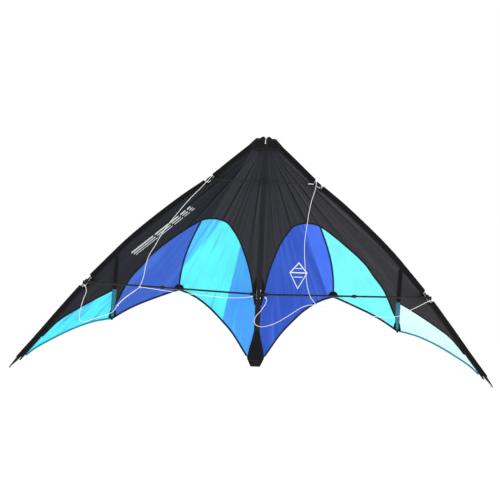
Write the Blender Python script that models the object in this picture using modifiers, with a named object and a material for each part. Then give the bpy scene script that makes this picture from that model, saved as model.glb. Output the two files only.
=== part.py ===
"""A dual-line delta kite, standing upright with its nose up.

Metres, +Z up. The origin is the centre T, +X runs along the span, the bridle side faces -Y and the
sail bellies towards +Y. Outlines are lists of (x, z) in millimetres for the wing on +X, and the
other wing is their mirror image. Left is -X and right is +X, as seen from the bridle side.
"""

import math

import bmesh
import bpy
from mathutils import Matrix, Vector

MM = 0.001

# Spine and centre T
SPINE_Y = 5.0
SPINE_RADIUS = 3.0
SPINE_TOP = 500.0
SPINE_BOTTOM = -226.0
SPINE_SLEEVE_HALF = (9.0, 5.0)
SAIL_OPENING = 17.0
T_HALF_WIDTH = 6.5
T_ARM_START = 8.0
T_ARM_END = 27.5
T_ARM_RADIUS = 5.0

# Spreaders, in front of the sail
SPREADER_Y = -9.0
SPREADER_RADIUS = 3.0
SPREADER_RISE = math.atan2(15.0, 570.0)
SPREADER_START = 12.5
SPREADER_END = 560.0
LOWER_ARM_START = 530.0
LOWER_ARM_END = 574.0
UPPER_SPREADER_Z = 370.0
UPPER_SPREADER_RADIUS = 2.0
UPPER_PIVOT_X = 161.0
UPPER_SOCKET_START = 140.0
UPPER_SOCKET_RADIUS = 4.5
UPPER_STUB = (166.3, 178.0)

# Leading edge: its outer edge from the nose to the tip of the nock
LEADING_EDGE = [
    (31, 511), (105, 447), (180, 381), (268, 314), (355, 241), (435, 168),
    (504, 95), (576, 15), (647, -72), (721, -166), (781, -240), (806, -271),
]
SLEEVE_WIDTH = 19.5
PANEL_INSET = 20.3  # where the sail panels start, just behind the sleeve
SLEEVE_HALF_DEPTH = 5.0
SLEEVE_WALL = 0.7
SPAR_INSET = 8.0
SPAR_RADIUS = 3.0
# Distances along the leading edge from the nose
SPAR_START = 10.0
SPAR_JOINT = 678.0
SPAR_END = 1086.0
FERRULE = (656.0, 700.0)
SLEEVES = {"top": (32.0, 187.0), "middle": (221.0, 706.0), "tip": (752.0, 1062.0)}
UPPER_CONNECTOR = (195.0, 213.0)
LOWER_CONNECTOR = (722.0, 742.0)
NOCK = (1064.0, 1103.0)
SAIL_END = 1041.0
FADE_OUT = 958.0  # where the black strip behind the leading edge has tapered away

# Sail outlines
KEEL_X = 10.0
PANEL_TOP = 476.0
ARCH_INNER = [
    (166, 243), (138, 241), (110, 230), (94, 211), (81, 193), (66, 166), (48, 122),
    (36, 88), (25, 46), (18, 8), (12, -25), (KEEL_X, -36),
]
ARCH_OUTER = [
    (199, 235), (256, 198), (295, 168), (332, 138), (362, 109), (388, 76), (420, 38),
    (442, 0), (460, -38), (476, -66),
]
PIPED_SEAM = [(199, 235), (226, 173), (246, 116), (258, 58), (262, 8), (262, -4)]
TE_INNER = [(262, -4), (230, -15), (199, -30), (159, -58), (121, -93), (82, -134), (28, -208)]
TE_MIDDLE = [(262, -4), (295, -16), (330, -30), (393, -57), (436, -80), (479, -108)]
TE_TIP = [(479, -108), (541, -120), (605, -146), (668, -180), (715, -209)]
TIP_BORDER = [(474, -7), (512, -28), (551, -51), (594, -78), (649, -117)]
TAIL_FLARE = [(KEEL_X, -128), (14, -146), (19, -164), (24, -184), (27, -204), (28, -208)]
TAIL_PATCH_END = [(28, -208), (26, -212)]
BATTEN = [(468, 100), (470, 62), (473, 12), (476, -50), (479, -108)]
NOSE_FLAP = [(10.5, 476.6), (42.4, 476.6), (54.6, 490.6), (32, 512), (10.5, 512)]

# Belly of the sail: the deepest share at each height, and how deep it is at the standoffs
BELLY_DEPTH = 105.0
BELLY = [
    (520, 0.0), (511, 0.02), (243, 0.53), (100, 0.81), (0, 0.985), (-60, 1.0),
    (-130, 0.87), (-208, 0.58), (-300, 0.3),
]
SAIL_THICKNESS = 0.8
SAIL_GAP = 0.25
GRID = 50.0

# Battens and standoffs
BATTEN_RADIUS = 1.25
BATTEN_STAND = 3.4
BATTEN_CAP_RADIUS = 2.6
BATTEN_CAP_LENGTH = 12.0
STANDOFF_BASE = 316.0
STANDOFF_TIP = (262.0, 101.5, -1.5)
STANDOFF_RADIUS = 1.5
STANDOFF_CAP = 10.0

# Tail strap: half width, front, back, bottom and top
TAIL_STRAP = (14.0, -1.5, 11.5, -237.0, -213.0)
NOSE_CAP = (8.0, 0.5, 10.0, 477.0, 514.0)

CORD_RADIUS = 0.9
CORD_POINTS = 40
# Bridle legs, (x, y, z) in millimetres, each named for where it starts
CORDS = {
    "left_bridle_upper_leg": [
        (-171, -9, 388), (-175, -15, 378), (-185, -20, 365), (-206, -26, 340), (-228, -30, 316),
        (-247, -32, 294), (-282, -34, 248), (-315, -34, 202), (-333, -32, 170), (-347, -30, 142),
        (-361, -28, 118), (-369, -25, 96), (-374, -22, 72), (-377, -20, 50), (-382, -18, 28),
        (-389, -18, 10),
    ],
    "left_bridle_inhaul": [
        (-20, -15, -6), (-34, -16, -10), (-52, -17, -12.5), (-74, -17.5, -14), (-96, -18, -14.5),
        (-125, -18, -14), (-155, -18, -12.5), (-185, -18, -11), (-215, -18, -9), (-245, -18, -7),
        (-275, -18, -4.5), (-305, -18, -1.5), (-330, -18, 1), (-352, -18, 3.5), (-372, -18, 5.5),
        (-386, -18, 6.5),
    ],
    "left_bridle_lower_leg": [
        (-393, -18, 3.5), (-402, -20, -4), (-416, -23, -15), (-430, -26, -26), (-445, -28, -40),
        (-456, -29, -52), (-464, -29, -66), (-474, -28, -78), (-487, -27, -85), (-503, -26, -91),
        (-522, -25, -98), (-541, -24, -106), (-556, -23, -112), (-569, -22, -114), (-578, -21, -107),
        (-580, -20, -94), (-577, -18, -74), (-573, -17, -56), (-569, -16, -39), (-563, -16, -24),
        (-561, -16, -12), (-564, -16.5, -1), (-571, -16.5, 7),
    ],
    "right_bridle_upper_leg": [
        (171, -9, 388), (171.5, -15, 377), (169.5, -20, 360), (164, -23, 338), (157, -26, 314),
        (152, -28, 288), (148.5, -29, 262), (146, -30, 237), (143, -30, 211), (141, -30, 186),
        (141, -29, 160), (142.5, -28, 136), (145, -26, 112), (149, -24, 82), (154, -21, 52),
        (160, -18.5, 26), (167, -17.5, 6), (176, -17.5, -9), (187, -18, -21),
    ],
    "right_bridle_inhaul": [
        (20, -15, -6), (25, -17, -12), (26, -18, -20), (22, -19, -31), (14, -20, -44),
        (5, -21, -57), (-4, -22, -67), (-10, -22, -77), (-11.5, -22, -89), (-6, -22, -99),
        (5, -22, -104), (20, -22, -104), (38, -22, -99), (58, -21.5, -91), (80, -21, -78),
        (101, -20, -64), (121, -19, -50), (140, -18.5, -37), (158, -18, -29), (172, -18, -26),
        (184.5, -18, -25.5),
    ],
    "right_bridle_lower_leg": [
        (571, -16.5, 7), (560, -17, 2), (545, -18, -6), (525, -19, -17), (504, -20, -28),
        (489, -21, -38), (475, -22, -46), (458, -22.5, -51), (436, -23, -54), (410, -23, -55),
        (380, -23, -54), (350, -22.5, -51.5), (318, -22, -48), (286, -21, -43), (256, -20, -38),
        (226, -19, -33), (208, -18.5, -29.5), (192.5, -18, -27.5),
    ],
}

COLOURS = {
    "black_ripstop": ((0.025, 0.027, 0.033), 0.7, 0.0),
    "cyan_ripstop": ((0.16, 0.85, 1.0), 0.6, 0.0),
    "royal_blue_ripstop": ((0.05, 0.15, 0.72), 0.6, 0.0),
    "pale_aqua_ripstop": ((0.65, 0.97, 1.0), 0.6, 0.0),
    "black_dacron": ((0.012, 0.012, 0.014), 0.8, 0.0),
    "black_rod": ((0.015, 0.015, 0.017), 0.3, 0.0),
    "black_rubber": ((0.012, 0.012, 0.012), 0.55, 0.0),
    "black_plastic": ((0.02, 0.02, 0.022), 0.4, 0.0),
    "ferrule_aluminium": ((0.75, 0.75, 0.77), 0.35, 1.0),
    "white_line": ((0.9, 0.9, 0.88), 0.75, 0.0),
}

for old in list(bpy.data.objects):
    bpy.data.objects.remove(old)
kite = bpy.data.collections.new("delta_kite")
bpy.context.scene.collection.children.link(kite)


def make_materials():
    """One Principled material for each finish."""
    made = {}
    for name, (colour, roughness, metallic) in COLOURS.items():
        material = bpy.data.materials.new(name)
        material.use_nodes = True
        shader = material.node_tree.nodes["Principled BSDF"]
        shader.inputs["Base Color"].default_value = (*colour, 1.0)
        shader.inputs["Roughness"].default_value = roughness
        shader.inputs["Metallic"].default_value = metallic
        made[name] = material
    return made


MATERIALS = make_materials()


def add(name, data, material, parent=None):
    """An object in the kite's collection, its geometry already in place, under an axis if it moves."""
    data.materials.clear()
    data.materials.append(MATERIALS[material])
    obj = bpy.data.objects.new(name, data)
    kite.objects.link(obj)
    if parent is not None:
        obj.parent = parent
        obj.matrix_parent_inverse = Matrix.Translation(-parent.location)
    return obj


def mesh_from(bm, name, smooth=True):
    """A mesh from a bmesh in millimetres, in metres, facing out."""
    bmesh.ops.recalc_face_normals(bm, faces=bm.faces)
    bmesh.ops.scale(bm, vec=(MM, MM, MM), verts=bm.verts)
    mesh = bpy.data.meshes.new(name)
    bm.to_mesh(mesh)
    bm.free()
    if smooth:
        mesh.shade_smooth()
        mesh.set_sharp_from_angle(angle=math.radians(35))
    return mesh


def axis_empty(name, place):
    """An empty on a joint's axis."""
    empty = bpy.data.objects.new(name, None)
    empty.location = Vector(place) * MM
    kite.objects.link(empty)
    return empty


def smooth_line(points, step):
    """Points about step apart on one smooth curve through the given points."""
    points = [Vector(p) for p in points]
    last = len(points) - 1
    along = [0.0]
    for a, b in zip(points, points[1:]):
        along.append(along[-1] + (b - a).length)
    line = []
    slopes = []
    for i in range(last + 1):
        before, after = max(i - 1, 0), min(i + 1, last)
        slopes.append((points[after] - points[before]) / (along[after] - along[before]))
    for i in range(last):
        span = along[i + 1] - along[i]
        count = max(1, round(span / step))
        for k in range(count):
            t = k / count
            rise = t * t * (3 - 2 * t)
            line.append(
                points[i] * (1 - rise)
                + points[i + 1] * rise
                + slopes[i] * (span * t * (1 - t) ** 2)
                - slopes[i + 1] * (span * t * t * (1 - t))
            )
    line.append(points[last])
    return line


def value_at(pairs, where):
    """The second number at the first one, between the rows of a table that runs downwards."""
    for (high, a), (low, b) in zip(pairs, pairs[1:]):
        if where >= low:
            t = min(1.0, max(0.0, (high - where) / (high - low)))
            return a + (b - a) * t
    return pairs[-1][1]


EDGE = smooth_line(LEADING_EDGE, 12.0)


def edge_at(distance, inset):
    """The leading edge's direction at a distance from the nose, and the point there, moved in."""
    for a, b in zip(EDGE, EDGE[1:]):
        span = (b - a).length
        if distance <= span or b == EDGE[-1]:
            direction = (b - a) / span
            inward = Vector((direction.y, -direction.x))
            return a + direction * distance + inward * inset, direction
        distance -= span


def edge_run(start, end, inset, step):
    """Points along the leading edge between two distances."""
    count = max(2, math.ceil((end - start) / step))
    return [edge_at(start + (end - start) * k / count, inset)[0] for k in range(count + 1)]


INNER_EDGE = [(p.y, p.x) for p in edge_run(0.0, SLEEVES["tip"][1], PANEL_INSET, 20.0)]
BELLY_LINE = [(p.x, p.y) for p in smooth_line(BELLY, 20.0)]


def depth(x, z):
    """How far the sail lies behind the flat of the frame, in millimetres."""
    across = (abs(x) - KEEL_X) / max(value_at(INNER_EDGE, z) - KEEL_X, 1.0)
    across = min(1.0, max(0.0, across))
    return BELLY_DEPTH * value_at(BELLY_LINE, z) * math.sin(math.pi * across**0.88) ** 1.25


def signed(points, sign):
    """(x, z) outline points on one side of the kite."""
    return [Vector((sign * p[0], p[1])) for p in points]


def shrunk(outline, by):
    """A closed outline moved in by a small distance, whichever way round it runs."""
    area = sum(a.x * b.y - b.x * a.y for a, b in zip(outline, outline[1:] + outline[:1]))
    turn = 1.0 if area > 0 else -1.0
    moved = []
    for i, here in enumerate(outline):
        to = (outline[(i + 1) % len(outline)] - here).normalized()
        since = (here - outline[i - 1]).normalized()
        side = Vector((-to.y - since.y, to.x + since.x))
        side = side.normalized() if side.length > 0.2 else Vector((-to.y, to.x))
        moved.append(here + side * (turn * by))
    return moved


def without_doubles(points):
    """The points without those that repeat the one before."""
    return [p for i, p in enumerate(points) if (p - points[i - 1]).length > 0.6]


def cloth(name, outline, material, parent=None, stand=0.0):
    """A panel of cloth: a flat outline, cut by a grid, laid on the belly and given its thickness."""
    bm = bmesh.new()
    ring = shrunk(without_doubles(outline), SAIL_GAP)
    bm.faces.new([bm.verts.new((p.x, 0.0, p.y)) for p in ring])
    for axis, values in ((0, [p.x for p in ring]), (2, [p.y for p in ring])):
        normal = Vector((0.0, 0.0, 0.0))
        normal[axis] = 1.0
        first = math.ceil(min(values) / GRID)
        for k in range(first, math.floor(max(values) / GRID) + 1):
            everything = bm.verts[:] + bm.edges[:] + bm.faces[:]
            bmesh.ops.bisect_plane(bm, geom=everything, plane_co=normal * (k * GRID), plane_no=normal)
    bmesh.ops.triangulate(bm, faces=bm.faces[:])
    for v in bm.verts:
        v.co.y = depth(v.co.x, v.co.z) + stand
    obj = add(name, mesh_from(bm, name, smooth=False), material, parent)
    thick = obj.modifiers.new("thickness", "SOLIDIFY")
    thick.thickness = SAIL_THICKNESS * MM
    thick.offset = 0.0
    return obj


def cylinder_mesh(name, start, end, radius, end_radius=None, sides=16):
    """A closed cylinder or cone between two points."""
    start, end = Vector(start), Vector(end)
    along = end - start
    bm = bmesh.new()
    bmesh.ops.create_cone(
        bm, cap_ends=True, segments=sides, radius1=radius,
        radius2=radius if end_radius is None else end_radius, depth=along.length,
    )
    turn = along.to_track_quat("Z", "Y").to_matrix().to_4x4()
    bmesh.ops.transform(bm, matrix=Matrix.Translation((start + end) / 2) @ turn, verts=bm.verts)
    return mesh_from(bm, name)


def sphere_mesh(name, centre, radius):
    """A closed ball."""
    bm = bmesh.new()
    bmesh.ops.create_uvsphere(bm, u_segments=16, v_segments=8, radius=radius)
    bmesh.ops.translate(bm, vec=Vector(centre), verts=bm.verts)
    return mesh_from(bm, name)


def box_mesh(name, low, high, bevel=0.0):
    """A closed box between two corners, with its edges rounded by bevel."""
    low, high = Vector(low), Vector(high)
    bm = bmesh.new()
    bmesh.ops.create_cube(bm, size=1.0)
    bmesh.ops.scale(bm, vec=high - low, verts=bm.verts)
    bmesh.ops.translate(bm, vec=(low + high) / 2, verts=bm.verts)
    if bevel:
        bmesh.ops.bevel(bm, geom=bm.edges[:], offset=bevel, segments=2, profile=0.5, affect="EDGES")
    return mesh_from(bm, name)


def combine(obj, meshes, operation):
    """The object with meshes joined on or cut away, by exact Booleans."""
    tools = []
    for mesh in meshes:
        tool = bpy.data.objects.new("tool", mesh)
        kite.objects.link(tool)
        tools.append(tool)
        step = obj.modifiers.new(operation.lower(), "BOOLEAN")
        step.operation = operation
        step.object = tool
    bpy.context.view_layer.update()
    changed = bpy.data.meshes.new_from_object(obj.evaluated_get(bpy.context.evaluated_depsgraph_get()))
    obj.modifiers.clear()
    obj.data = changed
    for tool in tools:
        bpy.data.objects.remove(tool)


def rod_along(name, points, radius, material, parent=None):
    """A round rod or line through many points: a polyline curve with a bevel and filled caps."""
    curve = bpy.data.curves.new(name, "CURVE")
    curve.dimensions = "3D"
    curve.bevel_depth = radius * MM
    curve.bevel_resolution = 2
    curve.use_fill_caps = True
    spline = curve.splines.new("POLY")
    spline.points.add(len(points) - 1)
    for place, p in zip(spline.points, points):
        place.co = (*(Vector(p) * MM), 1.0)
    return add(name, curve, material, parent)


def tube(name, centres, across, half_width, half_depth, material, parent=None):
    """A cloth sleeve: an open flattened tube along centres, thickened inwards. across gives each
    ring's wide direction."""
    sides = 12
    bm = bmesh.new()
    rings = []
    for centre, wide in zip(centres, across):
        ring = []
        for k in range(sides):
            turn = math.tau * k / sides
            place = centre + wide * (half_width * math.cos(turn))
            place += Vector((0.0, half_depth * math.sin(turn), 0.0))
            ring.append(bm.verts.new(place))
        rings.append(ring)
    for a, b in zip(rings, rings[1:]):
        for k in range(sides):
            m = (k + 1) % sides
            bm.faces.new((a[k], a[m], b[m], b[k]))
    obj = add(name, mesh_from(bm, name), material, parent)
    wall = obj.modifiers.new("wall", "SOLIDIFY")
    wall.thickness = SLEEVE_WALL * MM
    wall.offset = -1.0
    return obj


def on_spreader(sign, distance):
    """A point on a lower spreader's axis, by its distance from the centre T."""
    return Vector((
        sign * distance * math.cos(SPREADER_RISE), SPREADER_Y, distance * math.sin(SPREADER_RISE)
    ))


def on_edge(sign, distance, inset=SPAR_INSET, y=0.0):
    """A point along a leading edge, in space."""
    place = edge_at(distance, inset)[0]
    return Vector((sign * place.x, y, place.y))


def keel():
    """The spine, its sleeves, the nose and tail pieces and the hub of the centre T."""
    add("spine_rod", cylinder_mesh(
        "spine_rod", (0, SPINE_Y, SPINE_BOTTOM), (0, SPINE_Y, SPINE_TOP), SPINE_RADIUS), "black_rod")
    wide, deep = SPINE_SLEEVE_HALF
    for name, ends in (
        ("upper_spine_sleeve", (SAIL_OPENING, PANEL_TOP)),
        ("lower_spine_sleeve", (-SAIL_OPENING, TAIL_STRAP[4] + 1.0)),
    ):
        centres = [Vector((0, SPINE_Y, z)) for z in ends]
        tube(name, centres, [Vector((1, 0, 0))] * 2, wide, deep, "black_ripstop")

    half, front, back, bottom, top = NOSE_CAP
    body = box_mesh("nose_cap", (-half, front, bottom), (half, back, top), 1.5)
    nose = add("nose_cap", body, "black_dacron")
    bore = cylinder_mesh("bore", (0, SPINE_Y, bottom - 2), (0, SPINE_Y, SPINE_TOP + 0.5), SPINE_RADIUS + 0.35)
    combine(nose, [bore], "DIFFERENCE")

    half, front, back, bottom, top = TAIL_STRAP
    body = box_mesh("tail_strap", (-half, front, bottom), (half, back, top), 1.5)
    strap = add("tail_strap", body, "black_dacron")
    bore = cylinder_mesh("bore", (0, SPINE_Y, SPINE_BOTTOM - 0.5), (0, SPINE_Y, top + 2), SPINE_RADIUS + 0.35)
    combine(strap, [bore], "DIFFERENCE")

    right = signed(TAIL_FLARE[:-1] + TAIL_PATCH_END, 1)
    left = signed(TAIL_FLARE[:-1] + TAIL_PATCH_END, -1)
    cloth("tail_patch", right + left[::-1], "black_dacron", stand=-1.3)

    hub = add("centre_t", cylinder_mesh(
        "centre_t", (0, SPINE_Y, -14), (0, SPINE_Y, 14), 6.5, sides=20), "black_rubber")
    block = box_mesh("block", (-T_HALF_WIDTH, SPREADER_Y - 6, -9), (T_HALF_WIDTH, SPINE_Y, 9), 1.2)
    combine(hub, [block], "UNION")
    bore = cylinder_mesh("bore", (0, SPINE_Y, -20), (0, SPINE_Y, 20), SPINE_RADIUS + 0.35)
    combine(hub, [bore], "DIFFERENCE")


def leading_edge(side, sign, wing):
    """The two spars of a leading edge with their ferrule, the sleeve's three lengths, the nose flap,
    the connectors and the tip nock."""
    for name, start, end in (
        ("upper_le_spar", SPAR_START, SPAR_JOINT - 0.3),
        ("lower_le_spar", SPAR_JOINT + 0.3, SPAR_END),
    ):
        count = 14
        places = [on_edge(sign, start + (end - start) * k / count) for k in range(count + 1)]
        rod_along(f"{side}_{name}", places, SPAR_RADIUS, "black_rod", wing)

    start, end = FERRULE
    body = cylinder_mesh("ferrule", on_edge(sign, start), on_edge(sign, end), 3.9, sides=12)
    ferrule = add(f"{side}_le_ferrule", body, "ferrule_aluminium", wing)
    bore = cylinder_mesh("bore", on_edge(sign, start - 3), on_edge(sign, end + 3), SPAR_RADIUS + 0.4, sides=12)
    combine(ferrule, [bore], "DIFFERENCE")

    for name, (start, end) in SLEEVES.items():
        count = max(3, round((end - start) / 60))
        centres, across = [], []
        for k in range(count + 1):
            place, direction = edge_at(start + (end - start) * k / count, SLEEVE_WIDTH / 2)
            centres.append(Vector((sign * place.x, 0.0, place.y)))
            across.append(Vector((-sign * direction.y, 0.0, direction.x)))
        tube(
            f"{side}_le_sleeve_{name}", centres, across, SLEEVE_WIDTH / 2, SLEEVE_HALF_DEPTH,
            "black_dacron", wing)

    flap = add(f"{side}_nose_flap", plate_mesh(signed(NOSE_FLAP, sign), -4.5, 4.5), "black_dacron", wing)
    combine(flap, [cylinder_mesh(
        "bore", on_edge(sign, SPAR_START - 1), on_edge(sign, SLEEVES["top"][0] + 8), SPAR_RADIUS + 0.4)],
        "DIFFERENCE")

    start, end = UPPER_CONNECTOR
    body = cylinder_mesh("clamp", on_edge(sign, start), on_edge(sign, end), 6.0)
    clamp = add(f"{side}_upper_connector", body, "black_rubber", wing)
    stub = [(sign * x, SPREADER_Y, UPPER_SPREADER_Z) for x in UPPER_STUB]
    combine(clamp, [cylinder_mesh("stub", stub[0], stub[1], UPPER_SOCKET_RADIUS)], "UNION")
    combine(clamp, [spar_bore(sign, UPPER_CONNECTOR)], "DIFFERENCE")

    start, end = LOWER_CONNECTOR
    body = cylinder_mesh("clamp", on_edge(sign, start), on_edge(sign, end), 6.5)
    clamp = add(f"{side}_lower_connector", body, "black_rubber", wing)
    arm = cylinder_mesh("arm", on_spreader(sign, LOWER_ARM_START), on_spreader(sign, LOWER_ARM_END), 5.0)
    combine(clamp, [arm], "UNION")
    socket = cylinder_mesh(
        "socket", on_spreader(sign, LOWER_ARM_START - 2), on_spreader(sign, SPREADER_END + 0.5),
        SPREADER_RADIUS + 0.35)
    combine(clamp, [spar_bore(sign, LOWER_CONNECTOR), socket], "DIFFERENCE")

    nock = add(f"{side}_tip_nock", cylinder_mesh(
        "nock", on_edge(sign, NOCK[0]), on_edge(sign, NOCK[1]), 5.2, 2.8), "black_plastic", wing)
    combine(nock, [cylinder_mesh(
        "bore", on_edge(sign, NOCK[0] - 3), on_edge(sign, SPAR_END + 0.5), SPAR_RADIUS + 0.4)], "DIFFERENCE")


def spar_bore(sign, clamp):
    """A cutter along the leading-edge spar, longer than the clamp that it goes through."""
    return cylinder_mesh(
        "bore", on_edge(sign, clamp[0] - 4), on_edge(sign, clamp[1] + 4), SPAR_RADIUS + 0.4)


def plate_mesh(outline, front, back):
    """A flat plate between two depths."""
    bm = bmesh.new()
    face = bm.faces.new([bm.verts.new((p.x, front, p.y)) for p in outline])
    raised = bmesh.ops.extrude_face_region(bm, geom=[face])
    top = [v for v in raised["geom"] if isinstance(v, bmesh.types.BMVert)]
    bmesh.ops.translate(bm, vec=(0.0, back - front, 0.0), verts=top)
    return mesh_from(bm, "plate")


def sail(side, sign, wing):
    """The five panels of one wing's sail."""
    inner_edge = edge_run(SLEEVES["top"][0], FADE_OUT, PANEL_INSET, 30.0)
    tip_edge = edge_run(FADE_OUT, SAIL_END, PANEL_INSET, 30.0)
    crease = [inner_edge[0], Vector((166, 243))]
    arch_inner = smooth_line(ARCH_INNER, 20.0)
    arch_outer = smooth_line([ARCH_INNER[0]] + ARCH_OUTER, 24.0)
    seam_at = min(range(len(arch_outer)), key=lambda i: (arch_outer[i] - Vector(PIPED_SEAM[0])).length)
    seam = smooth_line(PIPED_SEAM, 24.0)
    te_inner = smooth_line(TE_INNER, 24.0)
    te_middle = smooth_line(TE_MIDDLE, 24.0)
    te_tip = smooth_line(TE_TIP + [tuple(tip_edge[-1])], 24.0)
    border = smooth_line(TIP_BORDER + [tuple(inner_edge[-1])], 24.0)
    flare = smooth_line(TAIL_FLARE, 20.0)
    colours = {
        "left": ("cyan_ripstop", "royal_blue_ripstop", "cyan_ripstop"),
        "right": ("royal_blue_ripstop", "cyan_ripstop", "pale_aqua_ripstop"),
    }[side]
    outlines = {
        "centre_panel": ([Vector((KEEL_X, PANEL_TOP))] + crease + arch_inner, "black_ripstop"),
        "leading_panel": (
            inner_edge + border[::-1] + [Vector((476, -66))] + arch_outer[::-1], "black_ripstop"),
        "inner_window": (
            arch_outer[:seam_at + 1] + seam + te_inner + flare[::-1] + arch_inner[::-1], colours[0]),
        "outer_window": (arch_outer[seam_at:] + te_middle[::-1] + seam[::-1], colours[1]),
        "tip_panel": (border + tip_edge + te_tip[::-1], colours[2]),
    }
    for name, (outline, material) in outlines.items():
        cloth(f"{side}_{name}", signed([tuple(p) for p in outline], sign), material, wing)


def batten(side, sign, wing):
    """A batten in front of the sail, with its end cap at the trailing edge."""
    places = []
    for p in smooth_line(BATTEN, 18.0):
        places.append(Vector((sign * p.x, depth(p.x, p.y) - BATTEN_STAND, p.y)))
    rod_along(f"{side}_batten", places, BATTEN_RADIUS, "black_rod", wing)
    end = places[-1]
    along = (end - places[-2]).normalized()
    cap = add(f"{side}_batten_cap", cylinder_mesh(
        "cap", end - along * (BATTEN_CAP_LENGTH - 2), end + along * 2, BATTEN_CAP_RADIUS, sides=12),
        "black_plastic", wing)
    combine(cap, [cylinder_mesh(
        "bore", end - along * (BATTEN_CAP_LENGTH + 3), end + along * 0.5, BATTEN_RADIUS + 0.35, sides=12)],
        "DIFFERENCE")


def spreader(side, sign, wing):
    """A lower spreader and the arm of the centre T that holds it."""
    add(f"{side}_lower_spreader", cylinder_mesh(
        "spreader", on_spreader(sign, SPREADER_START), on_spreader(sign, SPREADER_END), SPREADER_RADIUS),
        "black_rod", wing)
    body = cylinder_mesh("arm", on_spreader(sign, T_ARM_START), on_spreader(sign, T_ARM_END), T_ARM_RADIUS)
    arm = add(f"{side}_t_arm", body, "black_rubber", wing)
    combine(arm, [cylinder_mesh(
        "bore", on_spreader(sign, SPREADER_START - 0.5), on_spreader(sign, T_ARM_END + 2),
        SPREADER_RADIUS + 0.35)], "DIFFERENCE")


def standoff(side, sign, wing):
    """A standoff: a clip that turns on the lower spreader, a thin rod and a soft cap at the sail."""
    base = on_spreader(sign, STANDOFF_BASE)
    pivot = axis_empty(f"{side}_standoff_axis", base)
    pivot.parent = wing
    pivot.matrix_parent_inverse = Matrix.Translation(-wing.location)
    bpy.context.view_layer.update()
    tip = Vector((sign * STANDOFF_TIP[0], STANDOFF_TIP[1], STANDOFF_TIP[2]))
    along = (tip - base).normalized()
    length = (tip - base).length

    def place(name, mesh, material):
        obj = add(f"{side}_{name}", mesh, material)
        obj.parent = pivot
        obj.matrix_parent_inverse = Matrix.Translation(-base * MM)
        return obj

    rod_start, rod_end = base + along * 8, base + along * (length - 3)
    place("standoff_rod", cylinder_mesh("rod", rod_start, rod_end, STANDOFF_RADIUS, sides=10), "black_rod")
    body = cylinder_mesh(
        "clip", on_spreader(sign, STANDOFF_BASE - 6), on_spreader(sign, STANDOFF_BASE + 6), 5.5)
    clip = place("standoff_clip", body, "black_plastic")
    combine(clip, [cylinder_mesh("boss", base, base + along * 18, 3.4, sides=12)], "UNION")
    combine(clip, [
        cylinder_mesh("bore", on_spreader(sign, STANDOFF_BASE - 9), on_spreader(sign, STANDOFF_BASE + 9),
                      SPREADER_RADIUS + 0.4),
        cylinder_mesh("socket", base + along * 7.5, base + along * 20, STANDOFF_RADIUS + 0.35, sides=10),
    ], "DIFFERENCE")
    cap = place("standoff_cap", cylinder_mesh(
        "cap", base + along * (length - STANDOFF_CAP), tip, 2.9, sides=12), "black_rubber")
    combine(cap, [cylinder_mesh(
        "bore", base + along * (length - STANDOFF_CAP - 2), base + along * (length - 2.5),
        STANDOFF_RADIUS + 0.35, sides=10)], "DIFFERENCE")


def upper_spreader(wing):
    """The thin upper spreader with the two soft sockets on its ends, turning on the left connector."""
    pivot_place = Vector((-UPPER_PIVOT_X, SPREADER_Y, UPPER_SPREADER_Z))
    pivot = axis_empty("upper_spreader_axis", pivot_place)
    pivot.parent = wing
    pivot.matrix_parent_inverse = Matrix.Translation(-wing.location)

    def place(name, mesh, material):
        obj = add(name, mesh, material)
        obj.parent = pivot
        obj.matrix_parent_inverse = Matrix.Translation(-pivot_place * MM)
        return obj

    def across(x):
        return Vector((x, SPREADER_Y, UPPER_SPREADER_Z))

    reach = UPPER_PIVOT_X - 3
    rod = cylinder_mesh("rod", across(-reach), across(reach), UPPER_SPREADER_RADIUS, sides=12)
    place("upper_spreader", rod, "black_rod")
    for side, sign in (("left", -1), ("right", 1)):
        socket = place(f"upper_spreader_{side}_socket", cylinder_mesh(
            "socket", across(sign * UPPER_SOCKET_START), across(sign * UPPER_PIVOT_X), UPPER_SOCKET_RADIUS),
            "black_rubber")
        combine(socket, [sphere_mesh("end", across(sign * UPPER_PIVOT_X), UPPER_SOCKET_RADIUS)], "UNION")
        combine(socket, [cylinder_mesh(
            "bore", across(sign * (UPPER_SOCKET_START - 3)), across(sign * (reach + 0.5)),
            UPPER_SPREADER_RADIUS + 0.35, sides=12)], "DIFFERENCE")


def bridle(wings):
    """The six bridle legs, three to a wing."""
    for name, route in CORDS.items():
        length = sum((Vector(b) - Vector(a)).length for a, b in zip(route, route[1:]))
        wing = wings[name.split("_")[0]]
        rod_along(name, smooth_line(route, length / CORD_POINTS), CORD_RADIUS, "white_line", wing)


keel()
wing_axes = {}
for wing_side, wing_sign in (("left", -1), ("right", 1)):
    wing_axis = axis_empty(f"{wing_side}_wing_axis", (0, SPINE_Y, 0))
    wing_axes[wing_side] = wing_axis
    bpy.context.view_layer.update()
    leading_edge(wing_side, wing_sign, wing_axis)
    sail(wing_side, wing_sign, wing_axis)
    batten(wing_side, wing_sign, wing_axis)
    spreader(wing_side, wing_sign, wing_axis)
    standoff(wing_side, wing_sign, wing_axis)
upper_spreader(wing_axes["left"])
bridle(wing_axes)
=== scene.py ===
"""Looks of the delta kite: the sail, sleeves, webbing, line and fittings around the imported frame.

Outlines are lists of (x, z) in millimetres for the wing on +X, as the frame was designed, and the
other wing mirrors them. Meshes are written in metres in the frame's own coordinates.
"""

import math

import bmesh
import bpy
from mathutils import Matrix, Vector, noise


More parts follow.
